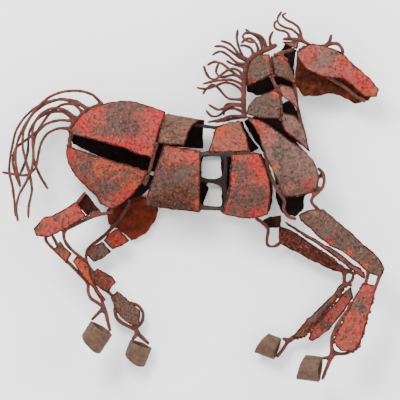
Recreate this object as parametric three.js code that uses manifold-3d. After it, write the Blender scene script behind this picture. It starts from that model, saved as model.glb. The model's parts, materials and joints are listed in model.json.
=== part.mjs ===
// A galloping horse welded from torch-cut sheet steel on a frame of bent round bar.
// It lies on its off side: +X runs from the tail to the nose, +Y from the hooves to the back,
// +Z up from the surface it lies on. "near" is the upper side, "far" the side it lies on.
import * as THREE from "three";
import { mergeVertices } from "three/addons/utils/BufferGeometryUtils.js";
import Module from "manifold-3d";

// Sizes that the stock sets, in millimetres
const SHEET = 2.5; // thickness of the plates
const BAR = 7.2; // diameter of the frame rods
const WIRE = 5.8; // diameter of the tail and mane wires
const CREST_BAR = 10; // diameter of the rod along the crest, thick with weld
const SEAT = 1; // gap between a plate and the rod that carries it
const NEAR_TUBE = 52; // outside diameter of the steel tube that the near hooves are cut from
const FAR_TUBE = 47; // the same for the far hooves
const HOOF_WALL = 4.5;
const NEAR_HOOF = 38; // length of a near hoof along its middle
const FAR_HOOF = 33; // the same for a far hoof
const HOOF_CUT = 13; // how much longer a hoof is at its toe than at its heel

// The free form is drawn on a pattern 760 long, in shares of the horse's own length
const LENGTH = 760;
const share = LENGTH / 760;
const MID = 74 * share; // height of the horse's middle plane above the surface
const NEAR_LEG = 44; // height of a near leg's middle over the middle plane
const FAR_LEG = -42; // height of a far leg's middle over the middle plane
const CROWN = 0.8; // how far a section rounds over towards its edges, of 1 for an ellipse

// How finely curves are cut into facets
const PLATE_FACET = 24 * share;
const STRIP_FACET = 28 * share;
const BAR_FACET = 50 * share;
const WIRE_FACET = 30 * share;
const BAR_SIDES = 5;
const WIRE_SIDES = 4;
const HOOF_SIDES = 18;

const NEAR = 1;
const FAR = -1;

const wasm = await Module();
wasm.setup();
const horse = new THREE.Group();

// A form is a run of stations [x, y, height, half width, half depth] on the pattern, with the
// height measured from a base over the middle plane. It gives the height of the skin over any
// point, on the near or the far side.
function form(base, ...stations) {
  const points = stations.map(([x, y, z, width, depth]) => ({
    place: new THREE.Vector2(x, y).multiplyScalar(share),
    z: base + z * share,
    width: width * share,
    depth: depth * share,
  }));
  return function skin(x, y, side) {
    const spot = new THREE.Vector2(x, y);
    let nearest = { distance: Infinity };
    for (let i = 0; i + 1 < points.length; i += 1) {
      const along = points[i + 1].place.clone().sub(points[i].place);
      const from = spot.clone().sub(points[i].place);
      const t = THREE.MathUtils.clamp(from.dot(along) / along.lengthSq(), 0, 1);
      const distance = points[i].place.clone().addScaledVector(along, t).distanceTo(spot);
      if (distance < nearest.distance) nearest = { distance, i, t };
    }
    const { distance, i, t } = nearest;
    const mix = (key) => THREE.MathUtils.lerp(points[i][key], points[i + 1][key], t);
    const off = Math.min(distance / mix("width"), 1);
    return MID + mix("z") + side * mix("depth") * Math.sqrt(1 - CROWN * off * off);
  };
}

// The point at a depth below a form's skin, measured square to it
function under(skin, x, y, side, depth) {
  const step = 2 * share;
  const slope = new THREE.Vector3(
    (skin(x - step, y, side) - skin(x + step, y, side)) / (2 * step),
    (skin(x, y - step, side) - skin(x, y + step, side)) / (2 * step),
    1,
  ).normalize();
  return new THREE.Vector3(x, y, skin(x, y, side)).addScaledVector(slope, -side * depth);
}

const trunk = form(
  0,
  [-268, 106, 0, 44, 34],
  [-245, 106, 0, 60, 50],
  [-215, 100, 0, 88, 63],
  [-165, 92, 0, 112, 74],
  [-120, 92, 0, 106, 74],
  [-60, 78, 0, 98, 70],
  [10, 68, 0, 90, 68],
  [80, 66, 0, 98, 70],
  [145, 76, 0, 88, 74],
  [185, 66, 0, 66, 66],
  [238, 40, 0, 34, 44],
);
const neck = form(
  0,
  [190, 110, 0, 66, 62],
  [140, 178, 0, 56, 50],
  [138, 235, 0, 52, 42],
  [152, 285, 0, 42, 34],
  [185, 314, 0, 22, 26],
);
const head = form(
  0,
  [196, 285, 0, 36, 28],
  [226, 281, 0, 38, 36],
  [262, 271, 0, 34, 32],
  [310, 243, 0, 26, 24],
  [358, 216, 0, 18, 15],
);
const nearHind = form(
  NEAR_LEG,
  [-220, -10, 0, 30, 16],
  [-318, -54, 0, 24, 14],
  [-250, -120, -4, 20, 12],
  [-190, -215, -8, 16, 10],
);
const farHind = form(
  FAR_LEG,
  [-130, -10, 0, 60, 26],
  [-150, -70, 0, 36, 20],
  [-225, -108, 0, 24, 16],
  [-200, -155, 0, 22, 14],
  [-125, -250, -6, 18, 12],
);
const nearFore = form(
  NEAR_LEG,
  [200, -20, 0, 26, 14],
  [355, -135, 0, 26, 14],
  [340, -170, 0, 20, 12],
  [285, -295, -6, 18, 10],
);
const farFore = form(
  FAR_LEG,
  [170, -60, 0, 34, 18],
  [310, -145, 0, 24, 16],
  [295, -172, 0, 20, 12],
  [205, -275, -6, 20, 12],
);

// An outline is a list of edges, each a list of the points it passes through smoothly. An edge
// starts where the one before it ends.
function tracePlan(edges) {
  const spots = edges.map((edge) => edge.map(([x, y]) => new THREE.Vector2(x, y).multiplyScalar(share)));
  const trace = [];
  spots.forEach((edge, i) => {
    const start = spots[(i + spots.length - 1) % spots.length].at(-1);
    const curve = new THREE.SplineCurve([start, ...edge]);
    const steps = Math.max(1, Math.round(curve.getLength() / PLATE_FACET));
    trace.push(...curve.getSpacedPoints(steps).slice(0, -1));
  });
  return THREE.ShapeUtils.area(trace) > 0 ? trace : trace.reverse();
}

// A plate cut to an outline and dished to a form's skin
function dishedPlate(skin, side, edges) {
  const rim = tracePlan(edges);
  const middle = rim.reduce((sum, p) => sum.add(p), new THREE.Vector2()).divideScalar(rim.length);
  const reach = Math.min(...rim.map((p) => p.distanceTo(middle)));
  const rings = reach > PLATE_FACET * 1.4 ? 2 : 1;
  const positions = [];
  const faces = [];
  const layer = (depth) => {
    const first = positions.length / 3;
    for (let ring = 0; ring < rings; ring += 1) {
      for (const p of rim) {
        const spot = middle.clone().lerp(p, 1 - ring / rings);
        positions.push(...under(skin, spot.x, spot.y, side, depth));
      }
    }
    positions.push(...under(skin, middle.x, middle.y, side, depth));
    return first;
  };
  const outer = layer(0);
  const inner = layer(SHEET);
  const up = side === NEAR ? outer : inner;
  const down = side === NEAR ? inner : outer;
  const count = rim.length;
  for (let i = 0; i < count; i += 1) {
    const j = (i + 1) % count;
    for (let ring = 0; ring + 1 < rings; ring += 1) {
      const a = ring * count;
      const b = a + count;
      faces.push([up + a + i, up + a + j, up + b + j], [up + a + i, up + b + j, up + b + i]);
      faces.push([down + a + j, down + a + i, down + b + j], [down + b + j, down + a + i, down + b + i]);
    }
    const last = (rings - 1) * count;
    const hub = rings * count;
    faces.push([up + last + i, up + last + j, up + hub]);
    faces.push([down + last + j, down + last + i, down + hub]);
    faces.push([down + i, down + j, up + j], [down + i, up + j, up + i]);
  }
  return new THREE.BufferGeometry()
    .setAttribute("position", new THREE.Float32BufferAttribute(positions, 3))
    .setIndex(faces.flat());
}

// A long plate between two edges that run the same way, dished to a form's skin. Its rows of
// three points cross it from one edge to the other.
function stripPlate(skin, side, edges) {
  const curves = edges.map((edge) => new THREE.SplineCurve(
    edge.map(([x, y]) => new THREE.Vector2(x, y).multiplyScalar(share)),
  ));
  const length = Math.max(...curves.map((curve) => curve.getLength()));
  const steps = Math.max(3, Math.round(length / STRIP_FACET));
  const [left, right] = curves.map((curve) => curve.getSpacedPoints(steps));
  const heading = left.at(-1).clone().sub(left[0]);
  if (heading.cross(right[0].clone().sub(left[0])) > 0) [left, right].forEach((row) => row.reverse());
  const positions = [];
  for (const depth of side === NEAR ? [0, SHEET] : [SHEET, 0]) {
    left.forEach((from, i) => {
      for (const t of [0, 0.5, 1]) {
        const spot = from.clone().lerp(right[i], t);
        positions.push(...under(skin, spot.x, spot.y, side, depth));
      }
    });
  }
  const lower = 3 * (steps + 1);
  const faces = [];
  const patch = (a, b, c, d) => faces.push([a, b, c], [a, c, d]);
  for (let i = 0; i < steps; i += 1) {
    const row = 3 * i;
    for (const a of [row, row + 1]) {
      patch(a, a + 3, a + 4, a + 1);
      patch(lower + a, lower + a + 1, lower + a + 4, lower + a + 3);
    }
    patch(row, lower + row, lower + row + 3, row + 3);
    patch(row + 2, row + 5, lower + row + 5, lower + row + 2);
  }
  for (const a of [0, 1]) {
    const end = 3 * steps + a;
    patch(a, a + 1, lower + a + 1, lower + a);
    patch(end, lower + end, lower + end + 1, end + 1);
  }
  return new THREE.BufferGeometry()
    .setAttribute("position", new THREE.Float32BufferAttribute(positions, 3))
    .setIndex(faces.flat().reverse());
}

// A round rod bent smoothly through points in space
function bentRod(points, diameter, sides, facet) {
  const path = points.length > 2
    ? new THREE.CatmullRomCurve3(points)
    : new THREE.LineCurve3(points[0], points[1]);
  const circle = new THREE.EllipseCurve(0, 0, diameter / 2, diameter / 2);
  const section = new THREE.Shape(circle.getPoints(sides).slice(0, -1));
  const steps = points.length > 2 ? Math.max(points.length - 1, Math.round(path.getLength() / facet)) : 1;
  return new THREE.ExtrudeGeometry(section, { steps, extrudePath: path, bevelEnabled: false });
}

const bar = (points) => bentRod(points, BAR, BAR_SIDES, BAR_FACET);
const wire = (points) => bentRod(points, WIRE, WIRE_SIDES, WIRE_FACET);

// Points of a rod that lies under the plates of one side, a seat's gap inside them
function beneath(skin, side, route) {
  return route.map(([x, y]) => under(skin, x * share, y * share, side, SHEET + SEAT + BAR / 2));
}

// A rod straight through a form from beneath its near skin to beneath its far skin
function strut(skin, x, y) {
  return bar([...beneath(skin, NEAR, [[x, y]]), ...beneath(skin, FAR, [[x, y]])]);
}

// Points of a rod given by its pattern places and heights, from a base over the middle plane
function between(route, base = 0) {
  return route.map(([x, y, z]) => new THREE.Vector3(x * share, y * share, MID + base + z * share));
}

function solidOf(geometry) {
  const bare = geometry.clone();
  bare.deleteAttribute("normal");
  bare.deleteAttribute("uv");
  const merged = mergeVertices(bare, 1e-3);
  return new wasm.Manifold(new wasm.Mesh({
    numProp: 3,
    vertProperties: merged.attributes.position.array,
    triVerts: new Uint32Array(merged.index.array),
  }));
}

function geometryOf(solid) {
  const mesh = solid.getMesh();
  return new THREE.BufferGeometry()
    .setAttribute("position", new THREE.Float32BufferAttribute(mesh.vertProperties, 3))
    .setIndex([...mesh.triVerts]);
}

// Rods welded into one piece
function weld(geometries) {
  return geometryOf(geometries.map(solidOf).reduce((sum, solid) => sum.add(solid)));
}

function add(name, geometry, color, metalness = 0.4) {
  const material = new THREE.MeshStandardMaterial({ color, roughness: 0.85, metalness });
  const mesh = new THREE.Mesh(geometry, material);
  mesh.name = name;
  horse.add(mesh);
}

// Broad plates: [name, form, side, colour, edges of the outline]
const plates = [
  ["rump_upper_plate_near", trunk, NEAR, 0xb55a50, [
    [[-248, 158], [-224, 181], [-190, 194], [-144, 200], [-108, 190], [-68, 178]],
    [[-80, 146], [-88, 120], [-95, 86]],
    [[-118, 89], [-160, 107], [-263, 135]],
  ]],
  ["rump_lower_plate_near", trunk, NEAR, 0xb3604f, [
    [[-190, 83], [-104, 57]],
    [[-116, 34], [-138, 6], [-176, -20]],
    [[-188, -12], [-206, -6], [-212, 12]],
    [[-228, 26], [-260, 62], [-270, 96], [-266, 108]],
  ]],
  ["flank_plate_near", trunk, NEAR, 0x85543f, [
    [[-34, 103], [0, 99]],
    [[0, -25]],
    [[-40, -21], [-112, -12]],
    [[-104, 16], [-88, 64], [-72, 110]],
  ]],
  ["withers_plate_near", trunk, NEAR, 0xb06c57, [
    [[54, 155], [68, 159], [80, 157]],
    [[90, 134], [100, 98]],
    [[50, 95], [18, 97]],
    [[26, 130], [32, 146]],
  ]],
  ["girth_plate_near", trunk, NEAR, 0xb0554c, [
    [[100, 94], [118, 94]],
    [[130, 64], [142, 20], [136, -28]],
    [[116, -37], [80, -35], [44, -27]],
    [[57, 14], [64, 91]],
  ]],
  ["shoulder_plate_near", trunk, NEAR, 0xb07c6e, [
    [[112, 164], [140, 149], [194, 108], [210, 99]],
    [[238, 58], [233, 18]],
    [[201, 8], [167, 5]],
    [[152, 46], [125, 102], [121, 120], [112, 144], [92, 167]],
  ]],
  ["crest_plate_near", neck, NEAR, 0x7c675c, [
    [[112, 291], [138, 292]],
    [[143, 260], [144, 251]],
    [[116, 239], [94, 229]],
    [[91, 236], [95, 258], [100, 278]],
  ]],
  ["throat_plate_near", neck, NEAR, 0x84685c, [
    [[150, 285], [162, 292]],
    [[184, 266], [193, 240], [192, 231]],
    [[180, 239], [149, 252]],
    [[146, 270], [142, 288]],
  ]],
  ["middle_neck_plate_near", neck, NEAR, 0x75655e, [
    [[96, 192], [118, 210], [148, 220]],
    [[160, 215]],
    [[163, 192], [161, 163]],
    [[124, 163], [92, 172]],
  ]],
  ["poll_plate", neck, NEAR, 0x7d6257, [
    [[180, 321], [198, 320]],
    [[198, 306], [194, 301]],
    [[182, 304], [164, 317]],
  ]],
  ["rump_upper_plate_far", trunk, FAR, 0x5a2d20, [
    [[-232, 176], [-190, 192], [-134, 196], [-70, 176]],
    [[-70, 136], [-80, 82], [-92, 56]],
    [[-170, 74], [-256, 112]],
    [[-262, 130], [-232, 176]],
  ]],
  ["rump_lower_plate_far", trunk, FAR, 0x5a2d20, [
    [[-212, 80], [-170, 64], [-94, 48]],
    [[-104, 22], [-138, 2], [-175, -16]],
    [[-214, 12], [-250, 50], [-264, 90], [-258, 105]],
  ]],
  ["flank_plate_far", trunk, FAR, 0x4d281c, [
    [[-38, 98], [6, 94]],
    [[1, 64], [4, 36]],
    [[18, 32], [4, -20]],
    [[-50, -14], [-106, -8]],
    [[-90, 36], [-70, 101]],
  ]],
  ["withers_plate_far", trunk, FAR, 0x4d281c, [
    [[55, 152], [84, 156]],
    [[97, 128], [115, 106]],
    [[112, 97], [60, 95], [22, 97]],
    [[34, 147]],
  ]],
  ["girth_plate_far", trunk, FAR, 0x4d281c, [
    [[43, 89], [122, 91]],
    [[138, 56], [145, 20], [138, -20]],
    [[112, -30], [82, -29], [44, -19]],
    [[46, 30], [43, 89]],
  ]],
  ["shoulder_plate_far", trunk, FAR, 0x4d281c, [
    [[94, 162], [114, 162]],
    [[150, 146], [208, 97], [234, 56], [224, 24]],
    [[204, 8], [206, -12]],
    [[196, -27], [166, -20]],
    [[153, 8], [152, 52], [124, 104], [104, 134], [94, 154]],
  ]],
  ["chest_plate_far", trunk, FAR, 0x4d281c, [
    [[128, -36], [164, -32]],
    [[176, -44], [162, -54]],
    [[138, -56], [122, -44]],
  ]],
  ["upper_neck_plate_far", neck, FAR, 0x4a2a20, [
    [[112, 288], [140, 289]],
    [[146, 262], [152, 240], [154, 222]],
    [[150, 216], [116, 210], [94, 219]],
    [[91, 240], [100, 276]],
  ]],
  ["throat_plate_far", neck, FAR, 0x4a2a20, [
    [[150, 284], [168, 290], [192, 297]],
    [[184, 266], [190, 244], [189, 228]],
    [[166, 232], [156, 236]],
    [[150, 262], [147, 276]],
  ]],
  ["lower_neck_plate_far", neck, FAR, 0x4a2a20, [
    [[100, 190], [118, 204], [156, 212]],
    [[164, 190], [180, 200]],
    [[198, 176], [210, 140], [217, 102]],
    [[190, 119], [160, 143]],
    [[136, 156], [100, 174]],
  ]],
  ["poll_plate_far", neck, FAR, 0x4a2a20, [
    [[166, 316], [196, 317]],
    [[192, 304], [182, 303]],
    [[172, 299], [162, 300]],
  ]],
  ["inner_gaskin_plate_near", nearHind, FAR, 0x6a2c26, [
    [[-240, 4], [-226, 12]],
    [[-216, -2], [-202, -19]],
    [[-226, -32]],
    [[-240, -14], [-247, -2]],
  ]],
  ["upper_cannon_plate_near_hind", nearHind, NEAR, 0x8d5a4a, [
    [[-286, -87], [-280, -83]],
    [[-268, -90], [-257, -108]],
    [[-262, -124], [-268, -128]],
    [[-280, -116], [-293, -100]],
  ]],
  ["thigh_plate_far", farHind, FAR, 0x643020, [
    [[-172, 0], [-130, 10], [-96, 2]],
    [[-82, -26], [-101, -57], [-118, -74], [-138, -81]],
    [[-152, -66], [-166, -58]],
    [[-178, -60], [-187, -42], [-188, -22]],
  ]],
  ["upper_gaskin_plate_far", farHind, NEAR, 0x9a3a34, [
    [[-179, -62], [-165, -58]],
    [[-152, -66], [-141, -82]],
    [[-158, -92], [-176, -100]],
    [[-193, -81]],
  ]],
  ["lower_gaskin_plate_far", farHind, NEAR, 0x7a6054, [
    [[-222, -94], [-197, -85]],
    [[-179, -103]],
    [[-190, -116], [-213, -125]],
    [[-227, -119], [-232, -106]],
  ]],
  ["upper_cannon_plate_far_hind", farHind, NEAR, 0x7c3a30, [
    [[-216, -139], [-196, -140], [-176, -154], [-169, -166]],
    [[-176, -177], [-186, -187]],
    [[-204, -176], [-223, -153]],
  ]],
];
for (const [name, skin, side, color, edges] of plates) add(name, dishedPlate(skin, side, edges), color);

// Long plates: [name, form, side, colour, one edge, the other edge]
const strips = [
  ["front_neck_plate_near", neck, NEAR, 0x8a6f66,
    [[160, 232], [176, 234], [190, 220], [195, 200], [200, 177]],
    [[158, 224], [164, 208], [180, 200], [188, 192], [197, 178]],
  ],
  ["lower_neck_plate_near", neck, NEAR, 0x8c7066,
    [[164, 174], [180, 173], [200, 162], [212, 132], [219, 98]],
    [[163, 156], [168, 140], [182, 130], [200, 114], [214, 101]],
  ],
  ["head_plate_near", head, NEAR, 0xa8695c,
    [[195, 298], [216, 313], [250, 310], [288, 293], [300, 280], [332, 250], [352, 240], [359, 222]],
    [[195, 287], [206, 268], [218, 257], [252, 244], [284, 246], [320, 214], [338, 202], [354, 207]],
  ],
  ["head_plate_far", head, FAR, 0x66301f,
    [[198, 304], [226, 311], [258, 308], [276, 304], [296, 282], [322, 260], [345, 238], [352, 216]],
    [[191, 258], [193, 224], [204, 211], [230, 206], [262, 216], [294, 204], [318, 192], [338, 200]],
  ],
  ["gaskin_plate_near", nearHind, NEAR, 0x9a6355,
    [[-248, -4], [-268, -16], [-292, -30], [-310, -33], [-326, -44], [-333, -57]],
    [[-226, -34], [-244, -44], [-272, -60], [-300, -74], [-314, -81], [-327, -72]],
  ],
  ["lower_cannon_plate_near_hind", nearHind, NEAR, 0xb05a38,
    [[-246, -112], [-224, -126], [-219, -152], [-208, -172], [-188, -200]],
    [[-254, -124], [-244, -140], [-230, -158], [-214, -176], [-193, -203]],
  ],
  ["lower_cannon_plate_far_hind", farHind, NEAR, 0x8a6558,
    [[-167, -182], [-144, -200], [-124, -218], [-116, -238], [-122, -252]],
    [[-180, -196], [-174, -210], [-166, -232], [-150, -244], [-132, -254]],
  ],
  ["forearm_plate_near", nearFore, NEAR, 0x80675a,
    [[196, -30], [220, -18], [238, -13], [260, -29], [300, -63], [340, -99], [364, -120], [370, -138]],
    [[200, -39], [216, -52], [240, -77], [270, -96], [310, -121], [334, -143], [346, -149], [362, -155]],
  ],
  ["cannon_plate_near_fore", nearFore, NEAR, 0x9a6a58,
    [[353, -172], [348, -194], [338, -226], [327, -266], [322, -284], [307, -303]],
    [[327, -166], [308, -196], [288, -238], [270, -274], [267, -288], [280, -302]],
  ],
  ["forearm_plate_far", farFore, NEAR, 0x7a342c,
    [[159, -52], [168, -49], [200, -72], [240, -98], [280, -128], [294, -140]],
    [[159, -86], [190, -104], [230, -123], [266, -140], [286, -147]],
  ],
  ["forearm_edge_plate_far", farFore, NEAR, 0xa87468,
    [[170, -43], [200, -60], [240, -83], [280, -107], [316, -134], [332, -145]],
    [[174, -48], [200, -66], [240, -92], [280, -121], [320, -151], [331, -160]],
  ],
  ["front_cannon_plate_far_fore", farFore, NEAR, 0x9a6558,
    [[304, -174], [314, -182], [294, -216], [262, -258], [244, -277], [226, -284]],
    [[297, -178], [274, -204], [248, -234], [226, -258], [218, -270], [219, -280]],
  ],
  ["rear_cannon_plate_far_fore", farFore, NEAR, 0x594a40,
    [[292, -173], [269, -202], [243, -232], [221, -256], [213, -269], [212, -278]],
    [[283, -168], [260, -196], [244, -214], [212, -240], [196, -264], [186, -277]],
  ],
];
for (const [name, skin, side, color, ...edges] of strips) add(name, stripPlate(skin, side, edges), color);

// The loin plate is one sheet bent over the spine. It runs round the trunk from the far edge's
// angle to the near edge's, measured from the top of the spine.
function loinPlate() {
  const section = { y: 73 * share, width: 94 * share, depth: 69 * share, fall: -0.19 };
  const farAngle = THREE.MathUtils.degToRad(-69);
  const nearAngle = THREE.MathUtils.degToRad(67);
  const left = (angle) => (-62 - 22 * Math.sin(Math.min(Math.abs(angle) * 1.35, Math.PI / 2))) * share;
  const right = (angle) => (angle > 0 ? 9 - 44 * Math.sin(angle) : 9 + 4 * Math.sin(angle)) * share;
  const across = 3;
  const around = 12;
  const positions = [];
  for (const depth of [0, SHEET]) {
    for (let i = 0; i <= around; i += 1) {
      const angle = THREE.MathUtils.lerp(farAngle, nearAngle, i / around);
      for (let j = 0; j <= across; j += 1) {
        const x = THREE.MathUtils.lerp(left(angle), right(angle), j / across);
        const middle = section.y + section.fall * (x + 26 * share) * Math.cos(angle);
        const y = middle + (section.width - depth) * Math.cos(angle);
        positions.push(x, y, MID + (section.depth - depth) * Math.sin(angle));
      }
    }
  }
  const inner = (around + 1) * (across + 1);
  const at = (i, j) => i * (across + 1) + j;
  const faces = [];
  const patch = (a, b, c, d) => faces.push([a, c, b], [a, d, c]);
  for (let i = 0; i < around; i += 1) {
    for (let j = 0; j < across; j += 1) {
      patch(at(i, j), at(i, j + 1), at(i + 1, j + 1), at(i + 1, j));
      patch(inner + at(i, j), inner + at(i + 1, j), inner + at(i + 1, j + 1), inner + at(i, j + 1));
    }
    patch(at(i, 0), at(i + 1, 0), inner + at(i + 1, 0), inner + at(i, 0));
    patch(at(i, across), inner + at(i, across), inner + at(i + 1, across), at(i + 1, across));
  }
  for (let j = 0; j < across; j += 1) {
    patch(at(0, j), inner + at(0, j), inner + at(0, j + 1), at(0, j + 1));
    patch(at(around, j), at(around, j + 1), inner + at(around, j + 1), inner + at(around, j));
  }
  const geometry = new THREE.BufferGeometry()
    .setAttribute("position", new THREE.Float32BufferAttribute(positions, 3))
    .setIndex(faces.flat());
  return geometry;
}
add("loin_plate", loinPlate(), 0x836555);

// A hoof is a short length of steel tube, open at both ends and cut aslant at the sole. It is
// placed by the middle of its upper rim and the way that its sole points in plan.
const HOOF_LEAN = THREE.MathUtils.degToRad(10);
function hoofTube(rim, sole, diameter, height) {
  const radius = diameter / 2;
  const profile = [
    [radius - HOOF_WALL, 0],
    [radius, 0],
    [radius, height],
    [radius - HOOF_WALL, height],
    [radius - HOOF_WALL, 0],
  ].map(([r, h]) => new THREE.Vector2(r, h));
  const tube = new THREE.LatheGeometry(profile, HOOF_SIDES);
  const place = tube.attributes.position;
  for (let i = 0; i < place.count; i += 1) {
    const aslant = (HOOF_CUT * place.getX(i)) / diameter;
    if (place.getY(i) > height / 2) place.setY(i, place.getY(i) - aslant);
  }
  const down = new THREE.Vector3(sole[0], sole[1], 0).normalize().multiplyScalar(Math.cos(HOOF_LEAN));
  down.z = -Math.sin(HOOF_LEAN);
  tube.applyQuaternion(new THREE.Quaternion().setFromUnitVectors(new THREE.Vector3(0, 1, 0), down));
  return tube.translate(rim.x, rim.y, rim.z);
}
const HOOF_DROP = -6; // how far a near hoof stands below its leg's middle
const nearHoof = [MID + NEAR_LEG + HOOF_DROP * share, NEAR_TUBE, NEAR_HOOF];
const farHoof = [MID + FAR_LEG, FAR_TUBE, FAR_HOOF];
const hooves = [
  ["near_hind_hoof", [-197.5, -257], [-0.55, -0.835], nearHoof],
  ["far_hind_hoof", [-119, -290.5], [-0.37, -0.93], farHoof],
  ["near_fore_hoof", [240.5, -339], [-0.993, 0.116], nearHoof],
  ["far_fore_hoof", [155, -299], [-0.93, 0.37], farHoof],
];
for (const [name, [x, y], sole, [z, diameter, height]] of hooves) {
  const rim = new THREE.Vector3(x * share, y * share, z);
  add(name, hoofTube(rim, sole, diameter, height), 0x7a5a45, 0.6);
}

// Frame rods
const RUST = 0x5a3020;
const KNOT = 11; // thickness of the weld where a leg's rods meet over the hoof
const knot = (points) => bentRod(points, KNOT, BAR_SIDES, BAR_FACET);
add("rump_rear_rods", weld([
  bar(beneath(trunk, NEAR, [[-260, 138], [-266, 120], [-264, 100]])),
  bar(beneath(trunk, FAR, [[-258, 138], [-266, 120], [-262, 100]])),
  strut(trunk, -266, 120),
]), RUST);
add("rump_front_rods", weld([
  bar(beneath(trunk, NEAR, [[-84, 114], [-90, 104], [-97, 70], [-104, 44], [-112, 26]])),
  strut(trunk, -91, 100),
]), RUST);
add("barrel_frame", weld([
  bar(between([[-86, 166, 0], [-40, 158, 0], [12, 147, 0], [40, 143, 0], [70, 148, 0], [84, 151, 0]])),
  strut(trunk, -86, 166),
  strut(trunk, 70, 148),
  bar(beneath(trunk, NEAR, [[-12, 94], [30, 93], [60, 92], [108, 93]])),
  bar(beneath(trunk, NEAR, [[-7, 96], [-8, 36], [-6, -21]])),
  bar(beneath(trunk, NEAR, [[70, 92], [64, 34], [54, -22]])),
  bar([...beneath(trunk, NEAR, [[24, 93], [33, 132]]), ...between([[40, 143, 0]])]),
  bar(beneath(trunk, NEAR, [[-10, -20], [22, -22], [54, -23], [100, -33]])),
  bar(beneath(trunk, FAR, [[-8, 92], [30, 93], [60, 92], [104, 93]])),
  bar(beneath(trunk, FAR, [[-8, 92], [-8, 36], [-6, -20]])),
  bar(beneath(trunk, FAR, [[52, 92], [50, 34], [52, -21]])),
  bar(beneath(trunk, FAR, [[-8, 38], [50, 34]])),
  bar(beneath(trunk, FAR, [[-8, -19], [22, -21], [54, -22], [96, -31]])),
  strut(trunk, 60, 92),
  strut(trunk, -6, -20),
  strut(trunk, 54, -22.5),
]), RUST);
add("shoulder_rear_rod", weld([
  bar(between([
    [128, 98, 58], [134, 72, 60], [138, 58, 59], [147, 34, 57], [161, 12, 52], [172, 0, 46],
    [165, -11, 42], [167, -24, 40], [178, -35, 39], [194, -38, 38],
  ])),
  bar(between([[138, 58, 59], [138, 58, -59]])),
]), RUST);
add("shoulder_front_rod", weld([
  bar(between([
    [236, 64, 23], [247, 52, 27], [250, 38, 31], [244, 22, 33], [232, 12, 36],
    [222, 4, 38], [222, -5, 39], [230, -12, 40], [242, -24, 38],
  ])),
  bar(between([[247, 52, 27], [228, 40, -28]])),
]), RUST);
add("chest_loop", bar(between([
  [112, -36, -20], [126, -44, -24], [139, -60, -26], [133, -80, -30], [135, -93, -34],
  [146, -96, -38], [164, -84, -42],
])), RUST);
add("neck_rods", weld([
  bar(beneath(neck, NEAR, [[158, 296], [142, 284], [144, 250], [156, 222], [164, 196], [162, 162]])),
  bar([
    ...beneath(neck, NEAR, [[158, 296]]),
    ...between([[182, 263, 9], [189, 238, 3], [192, 206, 5], [197, 178, 9], [209, 131, 33]]),
  ]),
  bar([...beneath(neck, NEAR, [[158, 296]]), ...between([[176, 298, 12], [190, 303, 8]])]),
  strut(neck, 162, 164),
  strut(neck, 144, 250),
]), RUST);
add("head_rods", weld([
  bar(between([[203, 306, 12], [222, 308, 12], [250, 309, 5]])),
  bar(between([[250, 309, 5], [262, 314, 7], [275, 315, 8], [285, 306, 8], [287, 292, 7]])),
  bar(between([[250, 309, 5], [259, 317, 8], [263, 332, 11]])),
  bar(between([[250, 309, 5], [252, 292, 14], [254, 272, 19], [256, 246, 12]])),
  bar(between([[256, 246, 12], [271, 237, 6], [288, 228, 2], [302, 217, 0], [312, 206, 0], [330, 200, 0]])),
]), RUST);
add("near_hind_leg_rods", weld([
  bar(between([
    [-229, 16, 0], [-240, 2, 0], [-268, -32, 0], [-300, -58, 0], [-314, -80, -4], [-302, -90, -6],
    [-276, -114, -8], [-244, -144, -8], [-222, -168, -8],
  ], NEAR_LEG)),
  bar(between([
    [-274, -61, -3], [-240, -45, -4], [-222, -36, -5], [-200, -28, -12], [-174, -24, -21],
  ], NEAR_LEG)),
  bar(between([[-296, -70, -3], [-288, -84, -6], [-276, -114, -8]], NEAR_LEG)),
  bar(between([
    [-274, -62, -3], [-277, -72, -4], [-272, -82, -6], [-262, -95, -7], [-240, -114, -8], [-222, -132, -9],
    [-216, -166, -9], [-204, -188, -9], [-194, -204, -9], [-192, -218, -8],
  ], NEAR_LEG)),
  bar(between([
    [-222, -168, -8], [-225, -182, -8], [-220, -196, -8], [-206, -206, -8], [-194, -214, -8], [-187, -228, -8],
  ], NEAR_LEG)),
  knot(between([[-196, -208, -8], [-189, -226, -7]], NEAR_LEG)),
  bar(between([[-192, -216, -8], [-218, -241, HOOF_DROP]], NEAR_LEG)),
  bar(between([[-188, -226, -7], [-180, -264, HOOF_DROP]], NEAR_LEG)),
]), RUST);
add("far_hind_leg_rods", weld([
  bar(between([
    [-140, -4, -6], [-166, -44, -7], [-190, -70, -6], [-222, -93, -5], [-236, -107, -4], [-228, -128, -4],
  ], FAR_LEG)),
  bar([
    ...between([[-228, -128, -4], [-206, -158, -1], [-182, -188, -4]], FAR_LEG),
    ...beneath(farHind, NEAR, [[-154, -216], [-136, -240]]),
    ...between([[-127, -266, -4]], FAR_LEG),
  ]),
  bar([
    ...beneath(farHind, NEAR, [[-156, -212]]),
    ...between([[-136, -206, -9], [-121, -214, -10], [-113, -226, -10], [-114, -244, -9],
      [-127, -258, -5]], FAR_LEG),
  ]),
  bar([
    ...beneath(farHind, NEAR, [[-174, -220], [-169, -238]]),
    ...between([[-152, -251, -10], [-127, -262, -5]], FAR_LEG),
  ]),
  knot(between([[-128, -262, -4], [-124, -272, -2]], FAR_LEG)),
  bar(between([[-125, -268, -3], [-136, -281, 0]], FAR_LEG)),
  bar(between([[-125, -268, -3], [-102, -290, 0]], FAR_LEG)),
]), RUST);
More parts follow.
